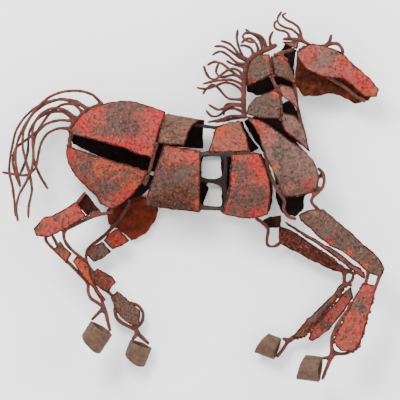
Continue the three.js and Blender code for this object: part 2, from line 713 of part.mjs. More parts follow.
add("near_fore_leg_rods", weld([
  bar(beneath(nearFore, NEAR, [[206, -36], [250, -58], [310, -103], [342, -136]])),
  bar([
    ...beneath(nearFore, NEAR, [[336, -138], [332, -166], [308, -198], [288, -232], [266, -262],
      [261, -282]]),
    ...between([[265, -308, -9]], NEAR_LEG),
  ]),
  bar([
    ...beneath(nearFore, NEAR, [[342, -136], [362, -148], [356, -168], [346, -200], [336, -228],
      [328, -262], [316, -293]]),
    ...between([[292, -309, -10], [265, -308, -9]], NEAR_LEG),
  ]),
  bar(beneath(nearFore, NEAR, [[336, -138], [362, -148]])),
  knot(between([[266, -305, -9], [262, -318, -8]], NEAR_LEG)),
  bar(between([[263, -315, -8], [245, -316.5, HOOF_DROP]], NEAR_LEG)),
  bar(between([[262, -316, -8], [255, -334, -6], [244, -360, HOOF_DROP]], NEAR_LEG)),
]), RUST);
add("far_fore_leg_rods", weld([
  bar(beneath(farFore, NEAR, [[172, -68], [206, -88], [252, -115], [290, -142]])),
  bar([
    ...beneath(farFore, NEAR, [[290, -142], [294, -166], [268, -203], [238, -240], [216, -266]]),
    ...between([[180, -281, -8]], FAR_LEG),
  ]),
  bar(beneath(farFore, NEAR, [[290, -142], [312, -150], [306, -164], [294, -172]])),
  knot(between([[184, -280, -8], [172, -285, -5]], FAR_LEG)),
  bar(between([[178, -282, -7], [165.5, -278, 0]], FAR_LEG)),
  bar(between([[177, -282, -7], [168, -298, -2], [154, -316, 0]], FAR_LEG)),
]), RUST);

// Wires weld onto a rod on the middle plane, at their first point, and drift to a height at the tip
function looseWire(tipHeight, route) {
  const last = route.length - 1;
  return wire(between(route.map(([x, y], i) => [x, y, tipHeight * (i / last) ** 1.5])));
}
const tailWires = [
  [30, [[-196, 192], [-206, 208], [-240, 220], [-280, 217], [-316, 198], [-334, 176], [-352, 144],
    [-358, 120], [-344, 60], [-335, 20], [-346, -20], [-344, -38]]],
  [-34, [[-224, 182], [-248, 200], [-280, 203], [-310, 196], [-344, 176], [-370, 140], [-378, 104],
    [-384, 60], [-374, 20], [-371, -34]]],
  [10, [[-224, 182], [-268, 203], [-308, 195], [-336, 174], [-370, 108], [-372, 90], [-360, 26]]],
  [-14, [[-234, 175], [-244, 190], [-262, 196], [-290, 186], [-312, 160], [-330, 132], [-336, 96],
    [-330, 64], [-304, 21]]],
  [44, [[-248, 162], [-268, 181], [-300, 186], [-324, 170], [-338, 140], [-332, 80], [-342, 48],
    [-368, 0], [-368, -24], [-364, -44]]],
  [-46, [[-250, 160], [-276, 179], [-308, 175], [-334, 158], [-344, 146], [-344, 100], [-354, 70],
    [-364, 48]]],
  [-24, [[-252, 158], [-288, 161], [-318, 148], [-336, 128], [-360, 114], [-376, 100], [-376, 70],
    [-360, 24]]],
  [22, [[-260, 143], [-276, 146], [-306, 136], [-322, 108], [-325, 74], [-328, 62], [-346, 48],
    [-376, 52], [-398, 56]]],
];
add("tail", weld([
  bar(between([
    [-194, 193, 0], [-224, 182, 0], [-234, 175, 0], [-248, 162, 0], [-252, 158, 0], [-260, 143, 0], [-262, 136, 0],
  ])),
  bar(between([[-234, 175, -18], [-234, 175, 18]])),
  ...tailWires.map(([tip, route]) => looseWire(tip, route)),
]), RUST);
const maneWires = [
  [24, [[142, 305], [138, 324], [148, 339]]],
  [-16, [[136, 303], [118, 330], [91, 336], [90, 343]]],
  [-26, [[126, 298], [124, 318], [104, 338]]],
  [12, [[118, 295], [115, 311], [108, 321], [99, 326], [89, 321], [83, 314]]],
  [34, [[132, 301], [131, 316], [122, 331], [104, 334], [88, 336], [83, 329], [90, 319], [110, 316]]],
  [-8, [[98, 280], [86, 284], [82, 296], [73, 320], [76, 342]]],
  [30, [[98, 280], [80, 286], [76, 294], [60, 314], [41, 319]]],
  [-20, [[96, 277], [74, 288], [52, 307], [38, 310], [28, 308]]],
  [16, [[94, 272], [76, 272], [52, 295], [38, 300], [23, 289]]],
  [-30, [[108, 290], [102, 306], [92, 310], [80, 310]]],
  [-10, [[92, 266], [80, 268], [64, 272], [52, 280]]],
  [26, [[90, 246], [72, 264], [56, 260], [44, 252], [34, 241], [24, 239], [16, 248], [10, 260], [8, 270]]],
  [-18, [[89, 240], [58, 262], [42, 276], [30, 279], [20, 276], [14, 270]]],
  [-36, [[90, 246], [64, 251], [34, 244], [30, 260], [40, 278]]],
  [34, [[88, 232], [60, 242], [28, 238], [4, 232]]],
  [20, [[88, 218], [60, 236], [38, 234], [28, 226], [6, 221], [-8, 226]]],
  [-14, [[88, 202], [56, 202], [48, 208], [42, 220], [32, 228], [24, 234], [16, 228], [6, 212]]],
  [-34, [[88, 190], [56, 194], [50, 190], [46, 180], [48, 170]]],
  [14, [[88, 190], [52, 188], [36, 178], [16, 192]]],
  [-26, [[88, 176], [62, 186], [52, 182], [34, 165], [22, 166], [12, 181]]],
  [22, [[89, 167], [56, 169], [26, 155], [14, 156]]],
  [-12, [[89, 167], [60, 162], [30, 156]]],
];
add("mane", weld([
  bentRod(between([
    [154, 312, 0], [142, 305, 0], [126, 298, 0], [108, 290, 0], [98, 280, 0], [92, 266, 0], [90, 246, 0],
    [88, 218, 0], [88, 190, 0], [88, 176, 0], [90, 163, 0],
  ]), CREST_BAR, BAR_SIDES, WIRE_FACET),
  ...maneWires.map(([tip, route]) => looseWire(tip, route)),
]), RUST);
const forelockWires = [
  [16, [[204, 320], [200, 342], [192, 352], [180, 358], [166, 366], [164, 375], [174, 375]]],
  [-16, [[204, 320], [188, 341], [176, 344], [164, 348], [156, 354], [154, 364], [165, 379]]],
  [4, [[179, 323], [178, 332], [172, 338], [160, 340], [151, 344], [148, 352], [154, 360]]],
];
add("forelock", weld([
  bar(between([[166, 322, 0], [179, 323, 0], [204, 320, 0], [222, 310, 0]])),
  ...forelockWires.map(([tip, route]) => looseWire(tip, route)),
]), RUST);

// The origin is the middle of the bounding box, on the surface
const bounds = new THREE.Box3().setFromObject(horse);
const middle = bounds.getCenter(new THREE.Vector3());
horse.children.forEach((mesh) => mesh.position.set(-middle.x, -middle.y, -bounds.min.z));

export default horse;
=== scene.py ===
"""A galloping horse of torch-cut, rusted and painted sheet steel on a rod frame, lying on its side.

Every piece is worked up from its CAD node: plates get ragged cut edges, dents and flaking paint,
rods and wires get round, pitted bar with weld beads."""

import json
import math

import bmesh
import bpy
import numpy as np
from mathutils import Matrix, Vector
from mathutils.kdtree import KDTree


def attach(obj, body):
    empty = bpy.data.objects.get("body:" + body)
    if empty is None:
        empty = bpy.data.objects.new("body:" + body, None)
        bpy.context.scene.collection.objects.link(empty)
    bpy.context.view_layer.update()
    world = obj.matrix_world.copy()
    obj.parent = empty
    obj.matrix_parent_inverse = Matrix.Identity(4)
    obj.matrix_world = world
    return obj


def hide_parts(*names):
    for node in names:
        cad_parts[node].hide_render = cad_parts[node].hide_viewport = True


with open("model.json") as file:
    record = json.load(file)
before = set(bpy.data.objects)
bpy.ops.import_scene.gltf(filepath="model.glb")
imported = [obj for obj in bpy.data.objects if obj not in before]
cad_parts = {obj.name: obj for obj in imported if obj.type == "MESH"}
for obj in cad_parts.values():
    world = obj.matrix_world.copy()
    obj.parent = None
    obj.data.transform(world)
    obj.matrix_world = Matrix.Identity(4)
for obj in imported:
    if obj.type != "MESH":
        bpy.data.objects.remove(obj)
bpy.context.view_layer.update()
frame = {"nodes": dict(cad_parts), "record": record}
MM = 0.001

# The middle of the view in the frame, and the heights of the horse's middle plane and of its near skin
VIEW_CENTRE = Vector((0.01429, -0.00773, 0.0))
MIDDLE_HEIGHT = 0.074
NEAR_SKIN_HEIGHT = 0.134

NODES = frame["nodes"]
SLOTS = {part["node"]: part["material_slot"] for part in frame["record"]["subparts"]}
ROD_SLOT = "rusted_rod"
HOOF_SLOT = "hoof_tube"
PLATES = [name for name in NODES if SLOTS[name] not in (ROD_SLOT, HOOF_SLOT)]
RODS = [name for name in NODES if SLOTS[name] == ROD_SLOT]
HOOVES = [name for name in NODES if SLOTS[name] == HOOF_SLOT]
# Plates whose painted face looks down, so that their bare inner face shows
FACE_DOWN = (
    "rump_upper_plate_far", "rump_lower_plate_far", "flank_plate_far", "withers_plate_far",
    "girth_plate_far", "shoulder_plate_far", "chest_plate_far", "upper_neck_plate_far",
    "throat_plate_far", "lower_neck_plate_far", "poll_plate_far", "head_plate_far",
    "inner_gaskin_plate_near", "thigh_plate_far",
)


# Noise
def lattice(cells, seed):
    """A repeatable number from 0 to 1 for each whole-number cell."""
    mixed = cells[:, 0] * 73856093 ^ cells[:, 1] * 19349663 ^ cells[:, 2] * 83492791 ^ seed * 2654435761
    mixed = (mixed ^ (mixed >> 13)) * 1274126177 & 0xFFFFFFFF
    return ((mixed ^ (mixed >> 16)) & 0xFFFF) / 65535.0


def noise(points, wavelength, seed):
    """Smooth noise from -1 to 1 at each point."""
    scaled = points / wavelength
    whole = np.floor(scaled).astype(np.int64)
    part = scaled - whole
    part = part * part * (3 - 2 * part)
    total = np.zeros(len(points))
    for corner in range(8):
        step = np.array([corner & 1, corner >> 1 & 1, corner >> 2 & 1])
        weight = np.prod(np.where(step, part, 1 - part), axis=1)
        total += weight * lattice(whole + step, seed)
    return total * 2 - 1


def drift(points, relief, seed):
    """A smooth shift of each point, for a relief of (depth, wavelength) in millimetres."""
    depth, wavelength = relief
    return depth * MM * np.stack([noise(points, wavelength * MM, seed + k) for k in range(3)], axis=1)


# Mesh arrays
FLOOR_GAP = 0.4 * MM


def places(mesh):
    flat = np.empty(len(mesh.vertices) * 3)
    mesh.vertices.foreach_get("co", flat)
    return flat.reshape(-1, 3)


def directions(mesh):
    flat = np.empty(len(mesh.vertices) * 3)
    mesh.vertices.foreach_get("normal", flat)
    return flat.reshape(-1, 3)


def move_to(mesh, points):
    """Put the mesh's points in their new places, none of them under the floor."""
    points[:, 2] = np.maximum(points[:, 2], FLOOR_GAP)
    mesh.vertices.foreach_set("co", points.ravel())
    mesh.update()


def mark(mesh, name, values):
    layer = mesh.attributes.new(name, "FLOAT", "POINT")
    layer.data.foreach_set("value", values.astype(np.float32))


def smooth_faces(mesh):
    mesh.polygons.foreach_set("use_smooth", np.ones(len(mesh.polygons), dtype=bool))


def new_piece(name, mesh, node):
    piece = bpy.data.objects.new(name, mesh)
    bpy.context.scene.collection.objects.link(piece)
    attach(piece, "root")
    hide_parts(node)
    return piece


def applied(source, modifiers):
    """The mesh of source after a list of (type, settings) modifiers."""
    work = bpy.data.objects.new("work", source)
    bpy.context.scene.collection.objects.link(work)
    for kind, settings in modifiers:
        modifier = work.modifiers.new(kind, kind)
        for key, value in settings.items():
            setattr(modifier, key, value)
    graph = bpy.context.evaluated_depsgraph_get()
    made = bpy.data.meshes.new_from_object(work.evaluated_get(graph))
    bpy.data.objects.remove(work)
    return made


# The y and z that the loin plate is bent round
LOIN_AXIS = (0.065, MIDDLE_HEIGHT)
WELD_TOGETHER = 0.01 * MM
# A rim's edges fold by more than this, join the ends of edges as short as the sheet is thick, and
# are themselves longer than the sheet is thick
SHARP_EDGE = math.radians(50)
ACROSS_SHEET = 4.8 * MM
ALONG_RIM = 4 * MM
SHARP_CORNER = math.radians(38)
RIM_CREASE = 0.9
PLATE_LEVELS = 3
SMOOTH_ROUNDS = 16
SMOOTH_STEP = 0.6
# How far in from a rim the torn relief and the bare rust reach
RIM_REACH = 5.5 * MM
RIM_SAMPLE = 2 * MM
# Relief of a plate, as (depth, wavelength) in millimetres: dents all over, then tears at the rim
DENTS = (1.6, 45)
DENT_LEAN = np.array([0.4, 0.4, 1])
TEARS = (1.3, 14)
NICKS = (1.1, 6)
INNER_TEARS = 0.3


def creased_copy(node):
    """The node's mesh, welded, with its rim and the corners of its outline held sharp."""
    build = bmesh.new()
    build.from_mesh(NODES[node].data)
    bmesh.ops.remove_doubles(build, verts=build.verts, dist=WELD_TOGETHER)
    edge_crease = build.edges.layers.float.new("crease_edge")
    corner_crease = build.verts.layers.float.new("crease_vert")
    rim_verts = {vert for edge in build.edges if edge.calc_length() < ACROSS_SHEET for vert in edge.verts}
    for edge in build.edges:
        folded = len(edge.link_faces) == 2 and edge.calc_face_angle() > SHARP_EDGE
        if folded and rim_verts.issuperset(edge.verts):
            edge[edge_crease] = RIM_CREASE
    for vert in build.verts:
        rim = [edge for edge in vert.link_edges if edge[edge_crease] and edge.calc_length() > ALONG_RIM]
        if len(rim) != 2:
            continue
        first, second = (edge.other_vert(vert).co - vert.co for edge in rim)
        if math.pi - first.angle(second) > SHARP_CORNER:
            vert[corner_crease] = 1.0
    mesh = bpy.data.meshes.new(node)
    build.to_mesh(mesh)
    build.free()
    return mesh


def rim_points(mesh):
    """Points along the creased rim of a plate's coarse mesh."""
    creases = mesh.attributes["crease_edge"].data
    verts = mesh.vertices
    points = []
    for edge in mesh.edges:
        if creases[edge.index].value > 0.5:
            a, b = (verts[i].co for i in edge.vertices)
            count = max(1, round((b - a).length / RIM_SAMPLE))
            points += [a.lerp(b, (i + 0.5) / count) for i in range(count)]
    return points


def tree_of(points):
    tree = KDTree(len(points))
    for index, point in enumerate(points):
        tree.insert(point, index)
    tree.balance()
    return tree


def relaxed(mesh, points, free):
    """The points after each has moved towards its neighbours, as far as its freedom lets it."""
    ends = np.empty(len(mesh.edges) * 2, dtype=np.int32)
    mesh.edges.foreach_get("vertices", ends)
    first, second = ends[0::2], ends[1::2]
    count = np.bincount(ends, minlength=len(points))[:, None]
    for _ in range(SMOOTH_ROUNDS):
        total = np.stack([
            np.bincount(first, points[second, axis], len(points))
            + np.bincount(second, points[first, axis], len(points))
            for axis in range(3)
        ], axis=1)
        points = points + free[:, None] * SMOOTH_STEP * (total / count - points)
    return points


def painted_share(node, points, normals):
    """1 on the face of a plate that was painted, 0 on its bare inner face."""
    if node == "loin_plate":
        outward = points - np.array([0, *LOIN_AXIS])
        facing = (outward[:, 1:] * normals[:, 1:]).sum(axis=1) / np.linalg.norm(outward[:, 1:], axis=1)
    else:
        facing = normals[:, 2] * (-1 if node in FACE_DOWN else 1)
    return np.clip(facing * 3 + 0.5, 0, 1)


# How many times wider in plan a far plate is made than its solid, where its edges show in the gaps
SPREAD = {
    "shoulder_plate_far": 1.07,
    "throat_plate_far": 1.14,
    "girth_plate_far": 1.04,
    "withers_plate_far": 1.04,
    "rump_lower_plate_far": 1.02,
}


def worked_plate(node, seed):
    """A plate with a smooth dish, dents, torn and beaded edges, and marks for its materials."""
    coarse = creased_copy(node)
    rim = tree_of(rim_points(coarse))
    mesh = applied(coarse, [("SUBSURF", {"levels": PLATE_LEVELS, "use_limit_surface": False})])
    points = places(mesh)
    nearness = np.array([1 - min(rim.find(p)[2] / RIM_REACH, 1) for p in points])
    points = relaxed(mesh, points, np.clip(1 - 2 * nearness, 0, 1))
    middle = points.mean(axis=0)
    points[:, :2] = middle[:2] + (points[:, :2] - middle[:2]) * SPREAD.get(node, 1.0)
    mesh.vertices.foreach_set("co", points.ravel())
    mesh.update()
    normals = directions(mesh)
    mark(mesh, "outer", painted_share(node, points, normals))
    mark(mesh, "rim", nearness)
    ragged = INNER_TEARS + (1 - INNER_TEARS) * nearness[:, None]
    points += drift(points, DENTS, seed) * DENT_LEAN
    points += drift(points, TEARS, seed + 5) * ragged
    points += drift(points, NICKS, seed + 9) * ragged
    lumps = np.clip(noise(points, 7 * MM, seed + 13) * 0.9 + 0.25, 0, 1) * nearness ** 2
    pits = noise(points, 4 * MM, seed + 17) * 0.25 + noise(points, 11 * MM, seed + 19) * 0.4
    points += normals * (lumps * 1.2 + pits)[:, None] * MM
    move_to(mesh, points)
    smooth_faces(mesh)
    return new_piece("worked_" + node, mesh, node)


# Rods, wires and hooves
ROD_VOXEL = 1.15 * MM
BEAD_SPACING = 6 * MM
BEAD_REACH = 5.5 * MM
BEAD_SAMPLE = 3 * MM
BEAD_RADIUS = (2.6, 4.2)
BEADLESS = ("tail", "forelock")
WIRES = ("tail", "mane", "forelock")
# How far a round skin stands out from its faceted solid, in millimetres
ROD_SWELL = 0.85
WIRE_SWELL = 1.05
ROD_SWAY = (0.9, 26)
HOOF_DENTS = (0.9, 14)


def add_bead(build, centre, radius, seed):
    """A flattened lump of weld metal."""
    made = bmesh.ops.create_icosphere(build, subdivisions=2, radius=radius)
    rng = np.random.default_rng(seed)
    stretch = rng.uniform(0.75, 1.25, 3)
    for vert in made["verts"]:
        vert.co = Vector((vert.co.x * stretch[0], vert.co.y * stretch[1], vert.co.z * stretch[2])) + centre


def beads_along(build, rims, seed):
    """Weld beads wherever the rods of build pass close to a plate's rim."""
    spots = []
    for edge in list(build.edges):
        count = max(1, round(edge.calc_length() / BEAD_SAMPLE))
        a, b = (vert.co for vert in edge.verts)
        for i in range(count):
            point = a.lerp(b, (i + 0.5) / count)
            hit, _, distance = rims.find(point)
            if distance < BEAD_REACH:
                spots.append((point + hit) / 2)
    rng = np.random.default_rng(seed)
    kept = []
    for spot in spots:
        if all((spot - other).length > BEAD_SPACING for other in kept):
            kept.append(spot)
            add_bead(build, spot, rng.uniform(*BEAD_RADIUS) * MM, seed + len(kept))


def worked_rods(node, rims, seed):
    """Rods or wires made round and pitted, with weld beads where they touch the plates."""
    build = bmesh.new()
    build.from_mesh(NODES[node].data)
    bmesh.ops.remove_doubles(build, verts=build.verts, dist=WELD_TOGETHER)
    if node not in BEADLESS:
        beads_along(build, rims, seed)
    rough = bpy.data.meshes.new(node)
    build.to_mesh(rough)
    build.free()
    mesh = applied(rough, [
        ("SUBSURF", {"levels": 2, "use_limit_surface": False}),
        ("REMESH", {"mode": "VOXEL", "voxel_size": ROD_VOXEL}),
        ("SMOOTH", {"factor": 0.6, "iterations": 6}),
    ])
    points = places(mesh)
    normals = directions(mesh)
    swell = WIRE_SWELL if node in WIRES else ROD_SWELL
    swell = swell + 0.4 * noise(points, 9 * MM, seed) + 0.25 * noise(points, 4 * MM, seed + 3)
    points += drift(points, ROD_SWAY, seed + 5)
    points += normals * swell[:, None] * MM
    move_to(mesh, points)
    smooth_faces(mesh)
    return new_piece("worked_" + node, mesh, node)


def worked_hoof(node, seed):
    """A hoof's tube with dents and pitted skin."""
    coarse = creased_copy(node)
    mesh = applied(coarse, [("SUBSURF", {"levels": PLATE_LEVELS, "use_limit_surface": False})])
    points = places(mesh)
    normals = directions(mesh)
    points += drift(points, HOOF_DENTS, seed)
    points += normals * (noise(points, 5 * MM, seed + 5) * 0.5)[:, None] * MM
    move_to(mesh, points)
    smooth_faces(mesh)
    return new_piece("worked_" + node, mesh, node)


# Materials: each channel is turned down by its share here, to allow for the scene's bright light
TRIM = (0.47, 0.37, 0.33)


def srgb(red, green, blue):
    """A linear base colour that shows about as these 0..255 display values in the scene's light."""
    linear = [((v / 255 + 0.055) / 1.055) ** 2.4 for v in (red, green, blue)]
    return (*(value * trim for value, trim in zip(linear, TRIM)), 1.0)


# In reaches: how far noise moves an area's edge, and where its colour ends and where it is full
AREA_WOBBLE = 9
AREA_EDGE = 5.7
AREA_FULL = 5.0


class Nodes:
    """Short calls that add shader nodes to a material."""

    def __init__(self, name):
        self.material = bpy.data.materials.new(name)
        self.material.use_nodes = True
        self.tree = self.material.node_tree
        self.shader = self.tree.nodes["Principled BSDF"]
        self.place = self.tree.nodes.new("ShaderNodeTexCoord").outputs["Object"]

    def link(self, source, target):
        if hasattr(source, "links"):
            self.tree.links.new(source, target)
        else:
            target.default_value = source

    def cloud(self, scale, detail, rough, shift):
        """Cloudy noise with about scale blobs to the metre."""
        texture = self.tree.nodes.new("ShaderNodeTexNoise")
        texture.noise_dimensions = "4D"
        texture.inputs["W"].default_value = shift
        texture.inputs["Scale"].default_value = scale
        texture.inputs["Detail"].default_value = detail
        texture.inputs["Roughness"].default_value = rough
        self.tree.links.new(self.place, texture.inputs["Vector"])
        return texture.outputs["Fac"]

    def patches(self, scale, detail, rough, shift, low, high):
        """Ragged patches, 0 where the cloud is below low and 1 where it is above high."""
        return self.ramp(self.cloud(scale, detail, rough, shift), low, high)

    def film(self, paint, share, strength, colour):
        """The paint with a film of another colour over it, where share is 1."""
        return self.mix(self.math("MULTIPLY", share, strength), paint, colour)

    def ramp(self, value, low, high):
        """0 below low, 1 above high, and the other way round where low is the greater."""
        ranger = self.tree.nodes.new("ShaderNodeMapRange")
        ranger.interpolation_type = "SMOOTHSTEP"
        ranger.inputs["From Min"].default_value = low
        ranger.inputs["From Max"].default_value = high
        self.link(value, ranger.inputs["Value"])
        return ranger.outputs["Result"]

    def mix(self, amount, first, second):
        mixer = self.tree.nodes.new("ShaderNodeMix")
        mixer.data_type = "RGBA"
        self.link(amount, mixer.inputs["Factor"])
        self.link(first, mixer.inputs["A"])
        self.link(second, mixer.inputs["B"])
        return mixer.outputs["Result"]

    def math(self, operation, first, second):
        worker = self.tree.nodes.new("ShaderNodeMath")
        worker.operation = operation
        self.link(first, worker.inputs[0])
        self.link(second, worker.inputs[1])
        return worker.outputs[0]

    def attribute(self, name):
        reader = self.tree.nodes.new("ShaderNodeAttribute")
        reader.attribute_name = name
        return reader.outputs["Fac"]

    def near(self, x, y, reach):
        """1 near a place in plan, in millimetres from the view's centre, with a ragged edge."""
        gap = self.tree.nodes.new("ShaderNodeVectorMath")
        gap.operation = "DISTANCE"
        gap.inputs[1].default_value = (x * MM + VIEW_CENTRE.x, y * MM + VIEW_CENTRE.y, 0)
        flat = self.tree.nodes.new("ShaderNodeVectorMath")
        flat.operation = "MULTIPLY"
        flat.inputs[1].default_value = (1, 1, 0)
        self.tree.links.new(self.place, flat.inputs[0])
        self.tree.links.new(flat.outputs[0], gap.inputs[0])
        wobble = self.math("MULTIPLY", self.cloud(40, 8, 0.85, x * 0.1), reach * MM * AREA_WOBBLE)
        distance = self.math("ADD", gap.outputs["Value"], wobble)
        return self.ramp(distance, reach * MM * AREA_EDGE, reach * MM * AREA_FULL)

    def bump(self, height, distance, strength):
        bumper = self.tree.nodes.new("ShaderNodeBump")
        bumper.inputs["Strength"].default_value = strength
        bumper.inputs["Distance"].default_value = distance
        self.tree.links.new(height, bumper.inputs["Height"])
        self.tree.links.new(bumper.outputs["Normal"], self.shader.inputs["Normal"])


# Paints, scale and rusts
RED = srgb(206, 60, 66)
CORAL = srgb(206, 88, 82)
PINK = srgb(188, 118, 114)
ROSE = srgb(176, 96, 88)
MAROON = srgb(122, 62, 54)
CRIMSON = srgb(172, 48, 44)
UMBER = srgb(80, 50, 38)
GREY = srgb(98, 96, 92)
SLATE = srgb(98, 86, 84)
GREY_PINK = srgb(138, 118, 114)
GREY_BROWN = srgb(106, 88, 80)
BROWN = srgb(108, 68, 50)
TAN = srgb(144, 114, 96)
ORANGE = srgb(200, 90, 60)
DARK_RUST = srgb(66, 28, 15)
# Near-black: the rust's black specks, and painted shade on the rods inside the barrel
BLACK_RUST_AND_SHADE = srgb(24, 11, 7)
MID_RUST = srgb(132, 52, 20)
# Dark red of the far forearm plate's visible face: red darkened with painted shade
SHADED_RED_RUST = srgb(92, 38, 26)
DEEPER_SHADED_RED_RUST = srgb(66, 28, 19)
# Orange rust on the outer rods, whose patches also stand in for highlights: partly painted highlight
BAR_RUST_AND_HIGHLIGHT = srgb(168, 78, 34)
PALE = srgb(206, 164, 146)
SCALE = srgb(118, 98, 74)
SCALE_BROWN = srgb(96, 64, 46)
SCALE_RUST = srgb(92, 52, 34)

# The paint of each plate: the two colours that show most, and broad areas of others as
# (x, y, reach, colour) in millimetres from the view's centre
FINISHES = {
    "rump_upper_plate_near": (RED, ROSE, [
        (-172, 160, 36, SLATE), (-146, 150, 30, SLATE), (-160, 186, 24, SLATE), (-128, 188, 18, GREY_BROWN),
        (-205, 146, 16, SLATE), (-250, 138, 12, GREY), (-206, 170, 18, CORAL), (-104, 96, 10, ORANGE)]),
    "rump_lower_plate_near": (ROSE, MAROON, [
        (-262, 96, 18, RED), (-218, 66, 28, GREY_BROWN), (-184, 68, 26, ORANGE), (-180, 32, 34, SLATE),
        (-146, 44, 20, GREY_BROWN), (-132, 26, 20, ORANGE), (-150, 2, 20, RED), (-182, -4, 16, PINK)]),
    "loin_plate": (GREY_BROWN, TAN, [(-22, 128, 12, ROSE), (-40, 150, 10, GREY)]),
    "flank_plate_near": (BROWN, GREY_BROWN, [
        (-14, 84, 24, CORAL), (-50, 90, 20, ROSE), (-48, 106, 12, ORANGE), (-12, 64, 8, GREY),
        (-2, 40, 9, ORANGE), (-4, -8, 10, ORANGE), (-104, 16, 6, RED),
        (-84, 34, 22, SLATE), (-40, 46, 18, GREY), (-46, 0, 34, UMBER), (-84, -4, 20, UMBER)]),
    "withers_plate_near": (ROSE, TAN, [(42, 134, 16, ORANGE), (66, 154, 12, TAN), (82, 112, 18, ROSE)]),
    "girth_plate_near": (ROSE, RED, [
        (84, 60, 26, SLATE), (118, 72, 24, RED), (86, 0, 36, SLATE), (116, 10, 26, GREY_BROWN),
        (112, -34, 14, RED), (130, 46, 14, ORANGE)]),
    "shoulder_plate_near": (GREY_PINK, GREY, [
        (112, 148, 24, CORAL), (136, 128, 16, PINK), (158, 121, 11, GREY), (204, 84, 24, GREY_PINK),
        (146, 66, 10, ORANGE), (176, 20, 14, PINK), (216, 34, 18, ROSE)]),
    "crest_plate_near": (GREY_BROWN, GREY, [(98, 238, 12, MAROON), (138, 286, 6, ORANGE)]),
    "throat_plate_near": (GREY_BROWN, GREY, [(166, 282, 6, CORAL), (190, 240, 6, ORANGE)]),
    "middle_neck_plate_near": (GREY, GREY_BROWN, [(156, 214, 9, CORAL)]),
    "front_neck_plate_near": (GREY_PINK, PINK, []),
    "lower_neck_plate_near": (GREY_PINK, GREY_BROWN, [(176, 134, 7, ROSE)]),
    "poll_plate": (GREY_PINK, GREY, [(194, 306, 6, CORAL)]),
    "head_plate_near": (ROSE, PINK, [
        (216, 300, 15, CORAL), (254, 282, 22, GREY_PINK), (270, 296, 12, GREY_BROWN),
        (280, 282, 10, ORANGE), (322, 252, 34, RED), (334, 212, 14, ORANGE)]),
    "head_plate_far": (BROWN, MAROON, []),
    "gaskin_plate_near": (CORAL, ROSE, [(-288, -36, 8, GREY_BROWN), (-324, -54, 9, GREY_BROWN)]),
    "upper_gaskin_plate_far": (CRIMSON, MAROON, [(-186, -84, 8, GREY)]),
    "lower_gaskin_plate_far": (GREY_BROWN, GREY, [(-222, -104, 8, MAROON)]),
    "upper_cannon_plate_far_hind": (MAROON, BROWN, [(-174, -168, 6, ORANGE)]),
    "lower_cannon_plate_far_hind": (GREY_BROWN, GREY, [(-168, -232, 10, MAROON)]),
    "upper_cannon_plate_near_hind": (GREY_BROWN, BROWN, [(-268, -112, 9, ROSE)]),
    "lower_cannon_plate_near_hind": (ORANGE, BROWN, [(-206, -180, 14, MAROON)]),
    "forearm_plate_near": (GREY_BROWN, GREY, [
        (292, -106, 12, ORANGE), (322, -130, 12, ORANGE), (258, -84, 7, RED), (230, -22, 9, TAN)]),
    "cannon_plate_near_fore": (ROSE, CORAL, [
        (340, -176, 12, CORAL), (318, -208, 16, GREY), (300, -238, 7, ORANGE), (290, -280, 18, ROSE)]),
    # Red darkened with painted shade
    "forearm_plate_far": (SHADED_RED_RUST, DEEPER_SHADED_RED_RUST, []),
    "forearm_edge_plate_far": (PINK, GREY_PINK, [(192, -56, 16, GREY), (322, -150, 12, CORAL)]),
    "front_cannon_plate_far_fore": (ROSE, CORAL, [(300, -184, 12, GREY), (252, -250, 10, GREY_BROWN)]),
    "rear_cannon_plate_far_fore": (GREY, GREY_BROWN, [(210, -258, 18, BROWN)]),
}
PLAIN_FINISH = (BROWN, MAROON, [])
# Main colours of the plates with next to no red paint left
DULL = (GREY, GREY_BROWN, GREY_PINK, BROWN)
# Rust of the bare inner faces that catch the light, each lighter or darker by the light it gets: lit and
# shaded copies of one rust
INNER_RUST = {
    "thigh_plate_far": (srgb(150, 70, 44), srgb(112, 48, 30)),
    "inner_gaskin_plate_near": (srgb(74, 28, 18), srgb(50, 20, 13)),
    "head_plate_far": (srgb(124, 62, 34), srgb(70, 30, 18)),
    "chest_plate_far": (srgb(86, 48, 34), srgb(46, 24, 17)),
    "upper_neck_plate_far": (srgb(52, 26, 17), srgb(22, 11, 8)),
}
# Near-black painted shade for the other bare inner faces, down in the body's hollows
SHADED_CAVITY_RUST = (srgb(44, 22, 15), srgb(18, 8, 6))
# How strong the coral film is on a plate with next to no red left, and on the others
DULL_BLUSH = 0.2
BRIGHT_BLUSH = 0.5
PLATE_GRAIN = 1.6 * MM
ROD_GRAIN = 1.2 * MM


def weathered_paint(made, node, shift):
    """The worn paint of a plate's outer face, and where dark rust has broken through it."""
    main, second, areas = FINISHES.get(node, PLAIN_FINISH)
    paint = made.mix(made.patches(58, 8, 0.72, shift, 0.46, 0.58), main, second)
    for x, y, reach, colour in areas:
        paint = made.mix(made.near(x, y, reach), paint, colour)
    blotch = made.patches(110, 8, 0.85, shift + 3, 0.51, 0.57)
    paint = made.film(paint, blotch, 0.65, GREY_BROWN)
    blush = made.patches(150, 8, 0.85, shift + 5, 0.54, 0.60)
    paint = made.film(paint, blush, DULL_BLUSH if main in DULL else BRIGHT_BLUSH, CORAL)
    dark = made.patches(160, 7, 0.85, shift + 7, 0.53, 0.58)
    paint = made.film(paint, dark, 0.72, DARK_RUST)
    pale = made.patches(210, 7, 0.85, shift + 9, 0.54, 0.59)
    return made.film(paint, pale, 0.5, PALE), dark


def rusted_rim(made, paint, shift):
    """The paint with weld rust over it along the rim."""
    edge_noise = made.cloud(150, 6, 0.75, shift + 11)
    edge = made.ramp(made.math("ADD", made.attribute("rim"), edge_noise), 0.9, 1.12)
    weld = made.mix(made.patches(70, 6, 0.7, shift + 13, 0.52, 0.66), DARK_RUST, ORANGE)
    return made.film(paint, edge, 0.85, weld)


